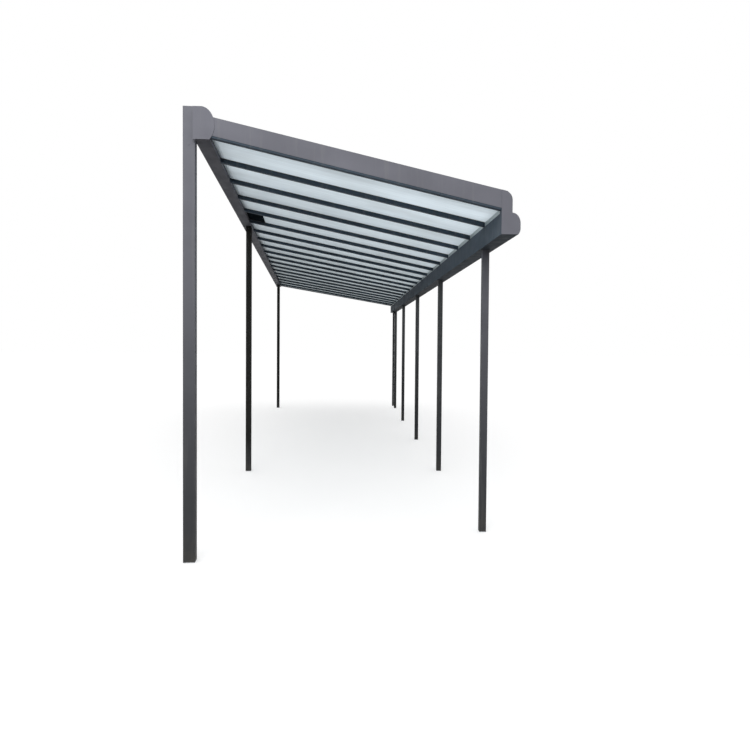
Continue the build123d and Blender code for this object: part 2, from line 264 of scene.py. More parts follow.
@dataclass(frozen=True)
class RoofPlan:
    """Lines that the whole canopy hangs on: its outline, its fall, its rafters and its posts."""

    length: float = 12.850
    front_width: float = 2.229
    rear_width: float = 2.996
    end_bay: float = 0.642
    inner_bays: int = 17
    seat_level: float = 2.721
    rise: float = 0.509
    gutter_underside: float = 2.552
    wall_underside: float = 3.230
    wall_seat: float = 0.114
    sheet_underside: float = 0.0355
    sheet_thickness: float = 0.016
    first_post: float = 0.842
    post_spacing: float = 2.832
    right_posts: int = 5
    to_frame: Triple = (1.487, -6.425, 0.0)

    @property
    def splay(self) -> float:
        """How far the wall line moves off in each metre of length."""
        return (self.rear_width - self.front_width) / self.length

    def wall_x(self, y: Values) -> Values:
        """Where the wall profile's inner face stands: it moves off evenly towards the rear."""
        return -(self.front_width + self.splay * y)

    def slope(self, y: Values) -> Values:
        """Fall of the roof as a ratio: the even rise over the width at y."""
        return self.rise / -self.wall_x(y)

    @property
    def rafters(self) -> Array:
        """Middle lines of the rafters, as distances from the front."""
        return np.linspace(self.end_bay, self.length - self.end_bay, self.inner_bays + 1)

    @property
    def bay_width(self) -> float:
        """Distance between the middles of two rafters."""
        return (self.length - 2 * self.end_bay) / self.inner_bays

    @property
    def sheet_top(self) -> float:
        """Top of the sheets over the rafters' underside."""
        return self.sheet_underside + self.sheet_thickness

    @property
    def post_lines(self) -> Array:
        """Middle lines of the right posts, as distances from the front."""
        return self.first_post + self.post_spacing * np.arange(self.right_posts)

    def placed(self, points: Array) -> Array:
        """Move points from the drawing into the shared frame."""
        return points + np.array(self.to_frame)

    def on_slope(self, x: Array, y: Array, line: Values, above: Values) -> Array:
        """Points over the rafters' underside.

        z = seat level - slope(line) x + above, with the fall taken at the rafter's own line.

        Args:
            x: Distances from the gutter beam's inner face.
            y: Distances from the front.
            line: The lines whose fall the points follow.
            above: Heights over the rafters' underside.

        Returns:
            The points, in the shared frame.
        """
        z = self.seat_level - self.slope(line) * x + above
        return self.placed(np.stack(np.broadcast_arrays(x, y, z), axis=-1))

    def sloped_bars(self, lines: Array, section: Array, left_gap: float, right_x: float) -> Skin:
        """Bars along the fall, one to a line, cut to the wall profile's face.

        Args:
            lines: Distances of the bars from the front.
            section: Corners as y from the line and height over the rafters' underside.
            left_gap: Room left at the wall profile.
            right_x: Where the bars end.

        Returns:
            The closed bars.
        """
        line = lines[:, None]
        y = line + section[None, :, 0]
        above = section[None, :, 1]
        near = self.on_slope(self.wall_x(y) + left_gap, y, line, above)
        far = self.on_slope(np.full_like(y, right_x), y, line, above)
        return prisms(near, far)

    def row_on_slope(
        self, y: float, line: float, margins: Pair, spacing: float, above: float
    ) -> tuple[Array, Array]:
        """Evenly spaced points in a row along the fall.

        Args:
            y: Distance of the row from the front.
            line: The line whose fall the row follows.
            margins: Room left at the wall profile and at the eaves.
            spacing: Distance between two points, to the nearest even share of the row.
            above: Height over the rafters' underside.

        Returns:
            The points, in the shared frame, and the direction square to the fall at each.
        """
        start, end = self.wall_x(line) + margins[0], -margins[1]
        x = np.linspace(start, end, int(round((end - start) / spacing)) + 1)
        normals = np.tile([self.slope(line), 0, 1.0], (len(x), 1))
        return self.on_slope(x, np.full_like(x, y), line, above), normals


# Finishes: each is a small class that builds one material.


@dataclass(frozen=True)
class Pattern:
    """Noise on Object coordinates: its clouds in a metre, how many finer layers it has, the part
    of its range that is used, and how it is stretched along each axis."""

    scale: float
    detail: float
    low: float
    high: float
    stretch: Triple = (1, 1, 1)


class Graph:
    """The node tree of a material or a world, with short calls that add nodes and join them."""

    def __init__(self, owner: bpy.types.Material | bpy.types.World) -> None:
        """Start from the owner's own shader and output.

        Args:
            owner: The material or world that the tree belongs to.
        """
        owner.use_nodes = True
        self.owner = owner
        self.tree = owner.node_tree
        self.output, self.shader = sorted(self.tree.nodes, key=lambda node: "Output" not in node.name)

    @staticmethod
    def of_material(name: str) -> "Graph":
        """Start a new material whose surface is one Principled shader."""
        return Graph(bpy.data.materials.new(name))

    def add(
        self, kind: str, inputs: dict[str | int, object] | None = None, **settings: object
    ) -> bpy.types.Node:
        """Add a node.

        Args:
            kind: The node's type.
            inputs: A value or a socket for each named or numbered input.
            settings: The node's own settings.

        Returns:
            The node.
        """
        node = self.tree.nodes.new(kind)
        for name, value in settings.items():
            setattr(node, name, value)
        for key, value in (inputs or {}).items():
            if isinstance(value, bpy.types.NodeSocket):
                self.tree.links.new(value, node.inputs[key])
            else:
                node.inputs[key].default_value = value
        return node

    def object_place(self, stretch: Triple = (1, 1, 1)) -> Socket:
        """Object coordinates, stretched along each axis.

        Args:
            stretch: Factors for x, y and z.

        Returns:
            The socket that holds them.
        """
        place = self.add("ShaderNodeTexCoord").outputs["Object"]
        return self.add("ShaderNodeMapping", {"Vector": place, "Scale": stretch}).outputs["Vector"]

    def noise(self, scale: float, detail: float, stretch: Triple = (1, 1, 1)) -> Socket:
        """Cloudy noise on Object coordinates.

        Args:
            scale: Clouds in a metre.
            detail: How many finer layers it has.
            stretch: Factors for x, y and z.

        Returns:
            The socket of its value, about 0.3 to 0.7.
        """
        place = self.object_place(stretch)
        inputs = {"Vector": place, "Scale": scale, "Detail": detail}
        return self.add("ShaderNodeTexNoise", inputs).outputs["Fac"]

    def pattern(self, pattern: Pattern, to_low: float = 0, to_high: float = 1) -> Socket:
        """A pattern's noise, spread from the part of its range that is used.

        Args:
            pattern: The pattern.
            to_low: What its low end becomes.
            to_high: What its high end becomes.

        Returns:
            The socket of the spread value.
        """
        noise = self.noise(pattern.scale, pattern.detail, pattern.stretch)
        return self.spread(noise, pattern.low, pattern.high, to_low, to_high)

    def math(self, operation: str, *numbers: object, use_clamp: bool = False) -> Socket:
        """One sum on values or sockets.

        Args:
            operation: Blender's name for the sum.
            numbers: Its one to three numbers or sockets.
            use_clamp: Whether the answer is kept between 0 and 1.

        Returns:
            The socket of the answer.
        """
        inputs = dict(enumerate(numbers))
        return self.add("ShaderNodeMath", inputs, operation=operation, use_clamp=use_clamp).outputs[0]

    def spread(self, value: Socket, low: float, high: float, to_low: float, to_high: float) -> Socket:
        """Spread a value from one range smoothly over another.

        Args:
            value: The value.
            low: Where its range starts.
            high: Where its range ends.
            to_low: What low becomes.
            to_high: What high becomes.

        Returns:
            The socket of the new value.
        """
        inputs = {"Value": value, "From Min": low, "From Max": high, "To Min": to_low, "To Max": to_high}
        node = self.add("ShaderNodeMapRange", inputs, interpolation_type="SMOOTHSTEP")
        return node.outputs["Result"]

    def blend(self, share: Socket, base: object, over: object) -> Socket:
        """Mix two colours, by the numbers of the Mix node's colour sockets.

        Args:
            share: How much of the second shows.
            base: The first, as a colour or a socket.
            over: The second.

        Returns:
            The socket of the mixed colour.
        """
        node = self.add("ShaderNodeMix", {"Factor": share}, data_type="RGBA")
        for key, value in zip(MIX_COLOURS, (base, over)):
            if isinstance(value, bpy.types.NodeSocket):
                self.tree.links.new(value, node.inputs[key])
            else:
                node.inputs[key].default_value = (*value, 1)
        return node.outputs[MIX_RESULT]

    def bump(self, height: Socket, strength: float, distance: float) -> Socket:
        """Fine relief on the surface.

        Args:
            height: Its height, from 0 to 1.
            strength: How much of it shows.
            distance: What a height of 1 stands for, in metres.

        Returns:
            The socket of the changed normal.
        """
        inputs = {"Height": height, "Strength": strength, "Distance": distance}
        return self.add("ShaderNodeBump", inputs).outputs["Normal"]

    def finish(self, links: dict[str, Socket], values: dict[str, object]) -> bpy.types.Material:
        """Join the shader's inputs.

        Args:
            links: Sockets for the shader's inputs.
            values: Constants for the shader's inputs.

        Returns:
            The material.
        """
        for name, socket in links.items():
            self.tree.links.new(socket, self.shader.inputs[name])
        for name, value in values.items():
            self.shader.inputs[name].default_value = value
        return self.owner

    def seen_straight(self) -> Socket:
        """Tell what is seen directly from what only lights the canopy.

        Returns:
            A socket that is 1 for rays of the camera, of mirrors and of clear glass, and else 0.
        """
        path = self.add("ShaderNodeLightPath").outputs
        total = self.math("ADD", path["Is Camera Ray"], path["Is Glossy Ray"])
        total = self.math("ADD", total, path["Is Transmission Ray"])
        return self.math("SUBTRACT", total, path["Is Diffuse Ray"], use_clamp=True)


def darker(colour: Colour, share: float) -> Colour:
    """A colour with each of its parts multiplied by the share."""
    return tuple(part * share for part in colour)


@dataclass(frozen=True)
class PowderCoat:
    """Matt powder coat on aluminium: fine orange-peel grain, faint clouds in tone, a film of
    dust where it lies flat, soft rain marks down its sides, a darkening towards the ground and
    splashed soil just above the feet. The darkening is grime over the lowest half metre, and on the
    posts, where it reaches their whole height, painted shade. Faces that look down or to the high
    side may take a painted shade, which deepens further towards the rear."""

    name: str
    colour: Colour
    painted_shade_tone: Colour | None = None
    shade_facing: Pair = (-0.9, -0.3)
    underside_shade_share: float = 0.3
    rear_shade_loss: float = 0.0
    rear_shade_span: Pair = (-5.5, 1.0)
    clouds: Pattern = Pattern(1.7, 4, 0.3, 0.7)
    cloud_tones: Pair = (0.9, 1.09)
    foot_grime_and_shade: Colour = (0.05, 0.052, 0.056)
    foot_grime_and_shade_height: float = 0.5
    dust: Colour = (0.30, 0.30, 0.28)
    dust_film: Pattern = Pattern(7, 5, 0.35, 0.68)
    dust_share: float = 0.35
    nearly_flat: float = 0.5
    rain_marks: Pattern = Pattern(28, 3, 0.52, 0.72, (1, 1, 0.05))
    mark_share: float = 0.1
    soil: Colour = (0.085, 0.08, 0.07)
    splashes: Pattern = Pattern(22, 6, 0.36, 0.66)
    soil_height: float = 0.3
    soil_share: float = 0.6
    thinnest: float = 0.25
    peel_scale: float = 620
    peel_detail: float = 3
    peel_strength: float = 0.25
    peel_height: float = 0.00015
    wear: Pattern = Pattern(11, 4, 0.3, 0.7)
    smoothest: float = 0.6
    roughest: float = 0.74
    gloss: float = 0.16

    def material(self) -> bpy.types.Material:
        """Build the coat's material.

        Returns:
            The material.
        """
        graph = Graph.of_material(self.name)
        normal = graph.add("ShaderNodeNewGeometry").outputs["Normal"]
        way = graph.add("ShaderNodeSeparateXYZ", {0: normal}).outputs
        place = graph.add("ShaderNodeSeparateXYZ", {0: graph.object_place()}).outputs
        deep, pale = (darker(self.colour, share) for share in self.cloud_tones)
        coat = graph.blend(graph.pattern(self.clouds), deep, pale)
        if self.painted_shade_tone:
            coat = self.paint_shade(graph, coat, way, place)
        # Darkening towards the ground: grime over a low height, and painted shade where it spans a post's
        # whole height.
        foot = graph.spread(place["Z"], 0, self.foot_grime_and_shade_height, 1, 0)
        coat = graph.blend(foot, coat, self.foot_grime_and_shade)
        flat = graph.spread(way["Z"], self.nearly_flat, 1, 0, self.dust_share)
        film = graph.pattern(self.dust_film, self.thinnest)
        coat = graph.blend(graph.math("MULTIPLY", flat, film), coat, self.dust)
        upright = graph.math("SUBTRACT", 1, graph.math("ABSOLUTE", way["Z"]))
        marks = graph.pattern(self.rain_marks, 0, self.mark_share)
        coat = graph.blend(graph.math("MULTIPLY", marks, upright), coat, self.dust)
        low = graph.spread(place["Z"], 0, self.soil_height, self.soil_share, 0)
        splash = graph.pattern(self.splashes, self.thinnest)
        coat = graph.blend(graph.math("MULTIPLY", low, splash), coat, self.soil)
        grain = graph.noise(self.peel_scale, self.peel_detail)
        peel = graph.bump(grain, self.peel_strength, self.peel_height)
        worn = graph.pattern(self.wear, self.smoothest, self.roughest)
        links = {"Base Color": coat, "Roughness": worn, "Normal": peel}
        return graph.finish(links, {"Specular IOR Level": self.gloss})

    def paint_shade(self, graph: Graph, coat: Socket, way: Sockets, place: Sockets) -> Socket:
        """Paint shade on the faces that look down or to the high side, deeper towards the rear.

        Args:
            graph: The coat's material.
            coat: The coat's colour.
            way: Parts of the direction that a face looks in.
            place: Parts of its place on the canopy.

        Returns:
            The socket of the new colour.
        """
        # Masks of the painted shade: faces that look to -x and faces that look down.
        inward = graph.spread(way["X"], *self.shade_facing, 1, 0)
        down = graph.spread(way["Z"], *self.shade_facing, 1, 0)
        coat = graph.blend(inward, coat, self.painted_shade_tone)
        coat = graph.blend(down, coat, darker(self.painted_shade_tone, self.underside_shade_share))
        # The painted shade deepens towards the rear and is mixed towards black.
        rear = graph.spread(place["Y"], *self.rear_shade_span, 0, self.rear_shade_loss)
        shade_to_rear = graph.math("MULTIPLY", graph.math("MAXIMUM", inward, down), rear)
        return graph.blend(shade_to_rear, coat, (0, 0, 0))


@dataclass(frozen=True)
class OpalSheet:
    """Opal multiwall sheet: each skin passes most of its light on and spreads it, the webs show
    as fine lines along the fall, and every cell between two webs is a little lighter or duller
    than the next. Grime gathers in clouds and beside the gutter, and the sheets darken towards the
    rear. A painted light lets them pass more light at the front end and near the eaves, and a
    painted shade less near the wall profile. The first surface coordinate counts the cells, the
    second is the distance from the eaves. The bays are counted from the first rafter's line."""

    first_line: float
    bay_width: float
    name: str = "opal_multiwall_sheet"
    passed: Colour = (0.905, 0.962, 1.0)
    reflected: Colour = (0.86, 0.93, 0.955)
    grime: Colour = (0.43, 0.45, 0.44)
    light_share: float = 0.733
    front_painted_light_share: float = 0.84
    front_painted_light_span: Pair = (-6.4, -4.9)
    edge_share: float = 0.055
    front_edge: Pair = (-6.38, -6.12)
    fall_shares: Pair = (0.028, -0.05)
    fall_span: Pair = (0.4, 2.3)
    web_loss: float = 0.1
    web_edges: Pair = (0.02, 0.13)
    clouds: Pattern = Pattern(3.2, 6, 0.38, 0.75, (0.45, 1, 1))
    cloud_share: float = 0.16
    specks: Pattern = Pattern(160, 3, 0.62, 0.78)
    speck_share: float = 0.12
    eaves_reach: float = 0.12
    eaves_grime: float = 0.15
    rear_darkening_span: Pair = (-7.0, 5.4)
    rear_darkening: float = 0.34
    cell_step: float = 1.7
    bay_step: float = 11.3
    cell_stretch: float = 0.9
    cell_range: Pair = (0.35, 0.68)
    cell_contrast: float = 0.1
    ripple_scale: float = 14
    ripple_detail: float = 2
    ripple_stretch: Triple = (0.25, 1, 1)
    ripple_strength: float = 0.3
    ripple_height: float = 0.001
    roughness: float = 0.32
    gloss: float = 0.45

    def material(self) -> bpy.types.Material:
        """Build the sheet's material: the shine of its skin mixed with the light it passes on.

        Returns:
            The material.
        """
        graph = Graph.of_material(self.name)
        along = graph.add("ShaderNodeUVMap", uv_map=SHEET_UV).outputs["UV"]
        cell = graph.add("ShaderNodeSeparateXYZ", {0: along}).outputs
        place = graph.add("ShaderNodeSeparateXYZ", {0: graph.object_place()}).outputs["Y"]
        dirt_and_rear_darkening = self.dirt_and_rear_darkening(graph, cell, place)
        ripple = graph.noise(self.ripple_scale, self.ripple_detail, self.ripple_stretch)
        relief = graph.bump(ripple, self.ripple_strength, self.ripple_height)
        tint = graph.blend(dirt_and_rear_darkening, self.reflected, self.grime)
        values = {"Roughness": self.roughness, "Specular IOR Level": self.gloss}
        graph.finish({"Base Color": tint, "Normal": relief}, values)
        glow = graph.blend(dirt_and_rear_darkening, self.passed, self.grime)
        through = graph.add("ShaderNodeBsdfTranslucent", {"Color": glow}).outputs[0]
        share = self.passing(graph, cell, place)
        inputs = {0: share, 1: graph.shader.outputs[0], 2: through}
        mixed = graph.add("ShaderNodeMixShader", inputs)
        graph.tree.links.new(mixed.outputs[0], graph.output.inputs["Surface"])
        return graph.owner

    def dirt_and_rear_darkening(self, graph: Graph, cell: Sockets, place: Socket) -> Socket:
        """Grime on the sheet: clouds, dull cells and specks, more of it at the eaves, and a darkening
        towards the rear.

        Args:
            graph: The sheet's material.
            cell: The surface coordinates.
            place: Distance along the canopy.

        Returns:
            The socket of its share, from 0 to 1.
        """
        clouds = graph.pattern(self.clouds, 0, self.cloud_share)
        specks = graph.pattern(self.specks, 0, self.speck_share)
        film = graph.math("ADD", clouds, self.cell_tone(graph, cell, place))
        eaves = graph.spread(cell["Y"], 0, self.eaves_reach, self.eaves_grime, 0)
        # Darker towards the rear.
        rear = graph.spread(place, *self.rear_darkening_span, 0, self.rear_darkening)
        ends = graph.math("ADD", eaves, rear)
        return graph.math("ADD", graph.math("ADD", film, specks), ends, use_clamp=True)

    def passing(self, graph: Graph, cell: Sockets, place: Socket) -> Socket:
        """Share of the light that the sheet passes on: less at the webs, and with painted light
        more at the front end and near the eaves, and with painted shade less near the wall profile.

        Args:
            graph: The sheet's material.
            cell: The surface coordinates.
            place: Distance along the canopy.

        Returns:
            The socket of the share.
        """
        web = graph.spread(graph.math("PINGPONG", cell["X"], 0.5), *self.web_edges, 1, 0)
        # Painted light and shade: a higher share over the front end and at its front edge, and along the
        # fall more near the eaves and less near the wall profile.
        share = graph.spread(place, *self.front_painted_light_span, self.front_painted_light_share, self.light_share)
        edge = graph.spread(place, *self.front_edge, self.edge_share, 0)
        fall = graph.spread(cell["Y"], *self.fall_span, *self.fall_shares)
        share = graph.math("ADD", share, graph.math("ADD", edge, fall))
        return graph.math("MULTIPLY_ADD", web, -self.web_loss, share)

    def cell_tone(self, graph: Graph, cell: Sockets, place: Socket) -> Socket:
        """Dullness of one cell, from noise read at a point of its own.

        The point is (cell step times cell + bay step times bay, stretch times distance), so the
        noise jumps from cell to cell and changes slowly along each.

        Args:
            graph: The sheet's material.
            cell: The surface coordinates.
            place: Distance along the canopy.

        Returns:
            The socket of the dullness.
        """
        number = graph.math("FLOOR", cell["X"])
        past_first = graph.math("SUBTRACT", place, self.first_line)
        bay = graph.math("FLOOR", graph.math("DIVIDE", past_first, self.bay_width))
        number = graph.math("MULTIPLY", number, self.cell_step)
        across = graph.math("ADD", number, graph.math("MULTIPLY", bay, self.bay_step))
        along = graph.math("MULTIPLY", cell["Y"], self.cell_stretch)
        point = graph.add("ShaderNodeCombineXYZ", {0: across, 1: along}).outputs[0]
        inputs = {"Vector": point, "Scale": 1.0, "Detail": 1.0}
        noise = graph.add("ShaderNodeTexNoise", inputs).outputs["Fac"]
        return graph.spread(noise, *self.cell_range, 0, self.cell_contrast)


@dataclass(frozen=True)
class BareMetal:
    """Bare metal that has been outside: long draw marks or zinc flowers under a dull film."""

    name: str
    colour: Colour
    shadow: Colour
    metallic: float = 1.0
    flower_scale: float = 0.0
    draw: Triple = (90, 0.6, 90)
    draw_scale: float = 4
    draw_detail: float = 4
    contrast: Pair = (0.2, 0.8)
    film: Pattern = Pattern(18, 4, 0.3, 0.7)
    smoothest: float = 0.3
    roughest: float = 0.5
    relief_strength: float = 0.15
    relief_height: float = 0.0001

    def material(self) -> bpy.types.Material:
        """Build the metal's material.

        Returns:
            The material.
        """
        graph = Graph.of_material(self.name)
        if self.flower_scale:
            inputs = {"Vector": graph.object_place(), "Scale": self.flower_scale}
            marks = graph.add("ShaderNodeTexVoronoi", inputs).outputs["Distance"]
        else:
            marks = graph.noise(self.draw_scale, self.draw_detail, self.draw)
        tone = graph.blend(graph.spread(marks, *self.contrast, 0, 1), self.shadow, self.colour)
        dull = graph.pattern(self.film, self.smoothest, self.roughest)
        relief = graph.bump(marks, self.relief_strength, self.relief_height)
        links = {"Base Color": tone, "Roughness": dull, "Normal": relief}
        return graph.finish(links, {"Metallic": self.metallic})


@dataclass(frozen=True)
class SealRubber:
    """Black sealing rubber with a fine matt grain and a little dust."""

    name: str = "seal_rubber"
    colour: Colour = (0.012, 0.012, 0.013)
    dusty: Colour = (0.045, 0.045, 0.043)
    dust: Pattern = Pattern(16, 5, 0.4, 0.8)
    grain_scale: float = 900
    grain_detail: float = 2
    grain_strength: float = 0.3
    grain_height: float = 0.0002
    patches: Pattern = Pattern(40, 3, 0.3, 0.7)
    smoothest: float = 0.6
    roughest: float = 0.8

    def material(self) -> bpy.types.Material:
        """Build the rubber's material.

        Returns:
            The material.
        """
        graph = Graph.of_material(self.name)
        tone = graph.blend(graph.pattern(self.dust), self.colour, self.dusty)
        noise = graph.noise(self.grain_scale, self.grain_detail)
        grain = graph.bump(noise, self.grain_strength, self.grain_height)
        matt = graph.pattern(self.patches, self.smoothest, self.roughest)
        return graph.finish({"Base Color": tone, "Normal": grain, "Roughness": matt}, {})


@dataclass(frozen=True)
class Finishes:
    """The canopy's materials, built once."""

    by_slot: dict[Slot, bpy.types.Material]
    by_node: dict[str, bpy.types.Material]
    rubber: bpy.types.Material
    screw: bpy.types.Material

    @staticmethod
    def build(plan: RoofPlan) -> "Finishes":
        """Build every material.

        Args:
            plan: The canopy's plan, whose bays the sheets' cells are counted in.

        Returns:
            The materials.
        """
        anthracite = (0.174, 0.176, 0.204)
        # The posts darken over their whole height towards the feet: painted shade.
        post_shade_height = 3.4
        by_slot = {
            Slot.FRAME: PowderCoat("frame_powder_coat", anthracite),
            # A darker, bluer copy of the anthracite: painted shade on the rafters.
            Slot.RAFTER: PowderCoat("rafter_painted_shade_coat", (0.062, 0.084, 0.110), gloss=0.1),
            Slot.POST: PowderCoat("post_powder_coat", (0.170, 0.173, 0.198), foot_grime_and_shade_height=post_shade_height),
            Slot.PIPE: PowderCoat("pipe_coat", (0.06, 0.065, 0.07), smoothest=0.45, roughest=0.6),
            Slot.TRIM: BareMetal(
                "weathered_aluminium", (0.52, 0.59, 0.60), (0.42, 0.48, 0.49), metallic=0.15
            ),
            Slot.SHOE: BareMetal(
                "galvanised_steel", (0.42, 0.43, 0.44), (0.3, 0.31, 0.32), flower_scale=90
            ),
            Slot.PANEL: OpalSheet(plan.to_frame[1] + plan.end_bay, plan.bay_width),
        }
        # Painted shade on the wall profile's and gutter beam's faces that look down or to the high side,
        # deeper towards the rear.
        wall = PowderCoat(
            "wall_profile_coat", anthracite, anthracite, underside_shade_share=0.74, rear_shade_loss=0.3
        )
        gutter = PowderCoat(
            "gutter_powder_coat", anthracite, (0.114, 0.142, 0.174), rear_shade_loss=0.45, gloss=0.05
        )
        blanking = PowderCoat("blanking_sheet_coat", (0.023, 0.031, 0.038), dust_share=0.12, gloss=0.0)
        # The middle and rear left posts wear a near-black copy of the post coat: painted shade.
        left_post = PowderCoat("left_post_painted_shade_coat", (0.023, 0.023, 0.021), gloss=0.08)
        right_post = PowderCoat(
            "right_post_coat", (0.170, 0.180, 0.186), foot_grime_and_shade_height=post_shade_height, gloss=0.1
        )
        coats = (
            (wall, ("wall_profile",)),
            (gutter, ("gutter_beam", "eaves_seat_rail")),
            (blanking, ("blanking_sheet",)),
            (left_post, ("middle_left_post", "rear_left_post")),
            (right_post, tuple(f"right_post_{n}" for n in range(2, plan.right_posts + 1))),
        )
        made = [(coat.material(), nodes) for coat, nodes in coats]
        screw = BareMetal(
            "stainless_screw", (0.55, 0.55, 0.54), (0.42, 0.42, 0.41), draw=(300, 300, 300)
        )
        return Finishes(
            {slot: finish.material() for slot, finish in by_slot.items()},
            {node: material for material, nodes in made for node in nodes},
            SealRubber().material(),
            screw.material(),
        )

    def dress_frame(self) -> None:
        """Give every node of the frame its own material or else its slot's."""
        for part in frame["record"]["subparts"]:
            mesh = frame["nodes"][part["node"]].data
            mesh.materials.clear()
            of_slot = self.by_slot[Slot(part["material_slot"])]
            mesh.materials.append(self.by_node.get(part["node"], of_slot))
            LOG.info("%s wears %s", part["node"], part["material_slot"])


# Sub-assemblies of the canopy.


@dataclass(frozen=True)
class RoofSheets:
    """Ribbed opal sheets between the rafters, with their closing strips at the eaves."""

    plan: RoofPlan
    finishes: Finishes
    end_line: float = 0.048
    stem_line: float = 0.006
    wall_play: float = 0.0008
    overhang: float = 0.038
    web_pitch: float = 0.0205
    groove_depth: float = 0.0003
    groove_width: float = 0.002
    steps: tuple[float, ...] = (0.0, 0.12, 0.5, 0.88)
    short_bay: int = 4
    short_by: float = 0.2006
    group: int = 7
    strip_leg: float = 0.018
    strip_wall: float = 0.001
    strip_inset: float = 0.012
    strip_play: float = 0.0002

    def limits(self, bay: int) -> Pair:
        """Find where the sheet in a bay starts and ends.

        Args:
            bay: The bay, counted from 0 at the front.

        Returns:
            The sheet's front and rear edge, as distances from the front.
        """
        lines = self.plan.rafters
        front = self.end_line if bay == 0 else lines[bay - 1] + self.stem_line
        rear = self.plan.length - self.end_line if bay == len(lines) else lines[bay] - self.stem_line
        return front, rear

    def sheet(self, bay: int) -> tuple[Skin, Array]:
        """One sheet, ruled along the fall.

        Over its width a skin's height is its plane less a groove at each web, which is the depth
        times exp(-(distance to the web / width) squared). Each height is carried in a straight
        line from the wall to the eaves, between the falls of its two edges.

        Args:
            bay: The bay, counted from 0 at the front.

        Returns:
            The closed sheet, and cells and distance from the eaves for each of its points.
        """
        front, rear = self.limits(bay)
        cells = int(round((rear - front) / self.web_pitch))
        count = np.concatenate([(np.arange(cells)[:, None] + np.array(self.steps)).ravel(), [cells]])
        share = count / cells
        y = front + (rear - front) * share
        nearest = np.abs(count - np.round(count)) * (rear - front) / cells
        groove = self.groove_depth * np.exp(-((nearest / self.groove_width) ** 2))
        edges = np.array([front, rear])
        inset = self.short_by if bay == self.short_bay else self.wall_play
        left = self.plan.wall_x(edges) + inset
        slope = self.plan.slope(edges)
        left_x = left[0] + (left[1] - left[0]) * share
        fall = -slope * left
        left_z = self.plan.seat_level + fall[0] + (fall[1] - fall[0]) * share
        right_z = self.plan.seat_level - (slope[0] + (slope[1] - slope[0]) * share) * self.overhang
        low, high = self.plan.sheet_underside + groove, self.plan.sheet_top - groove

        def end(x: Array, z: Array) -> Array:
            """Corners of an end, along the top skin and back along the lower one.

            Args:
                x: Where the end stands, for each y.
                z: The rafters' underside there.

            Returns:
                The corners, as one section.
            """
            top = np.stack([x, y, z + high], axis=-1)
            lower = np.stack([x, y, z + low], axis=-1)
            return np.concatenate([top, lower[::-1]])[None]

        right_x = np.full_like(y, self.overhang)
        skin = prisms(self.plan.placed(end(left_x, left_z)), self.plan.placed(end(right_x, right_z)))
        around = np.concatenate([count, count[::-1]])
        wide = self.overhang - np.concatenate([left_x, left_x[::-1]])
        uv = np.stack([np.concatenate([around, around]), np.concatenate([wide, 0 * wide])], axis=-1)
        return skin, uv

    def closing_strip(self, bay: int) -> Skin:
        """Folded strip over a sheet's cut end: a leg on top of the sheet and a face below it.

        Args:
            bay: The bay, counted from 0 at the front.

        Returns:
            The closed strip.
        """
        front, rear = self.limits(bay)
        y = np.array([[front + self.strip_inset], [rear - self.strip_inset]])
        out, wall = self.overhang + self.strip_wall, self.strip_wall
        foot, top = self.plan.sheet_underside, self.plan.sheet_top
        inside = top + self.strip_play
        x = np.array([out - self.strip_leg, out, out, out - wall, out - wall, out - self.strip_leg])
        above = np.array([top + wall, top + wall, foot, foot, inside, inside])
        ends = self.plan.on_slope(x, y, y, above)
        return prisms(ends[:1], ends[1:])

    def build(self) -> None:
        """Make the sheets in the frame's three groups, and their closing strips."""
        bays = len(self.plan.rafters) + 1
        for number, first in enumerate(range(0, bays, self.group), start=1):
            made = [self.sheet(bay) for bay in range(first, min(first + self.group, bays))]
            piece = make_piece(
                f"ribbed_sheets_{number}",
                Skin.joined([skin for skin, _ in made]),
                self.finishes.by_slot[Slot.PANEL],
                np.concatenate([uv for _, uv in made]),
            )
            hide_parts(f"roof_panels_{number}")
        strips = Skin.joined([self.closing_strip(bay) for bay in range(bays)])
        make_piece("sheet_closing_strips", strips, self.finishes.by_slot[Slot.TRIM])


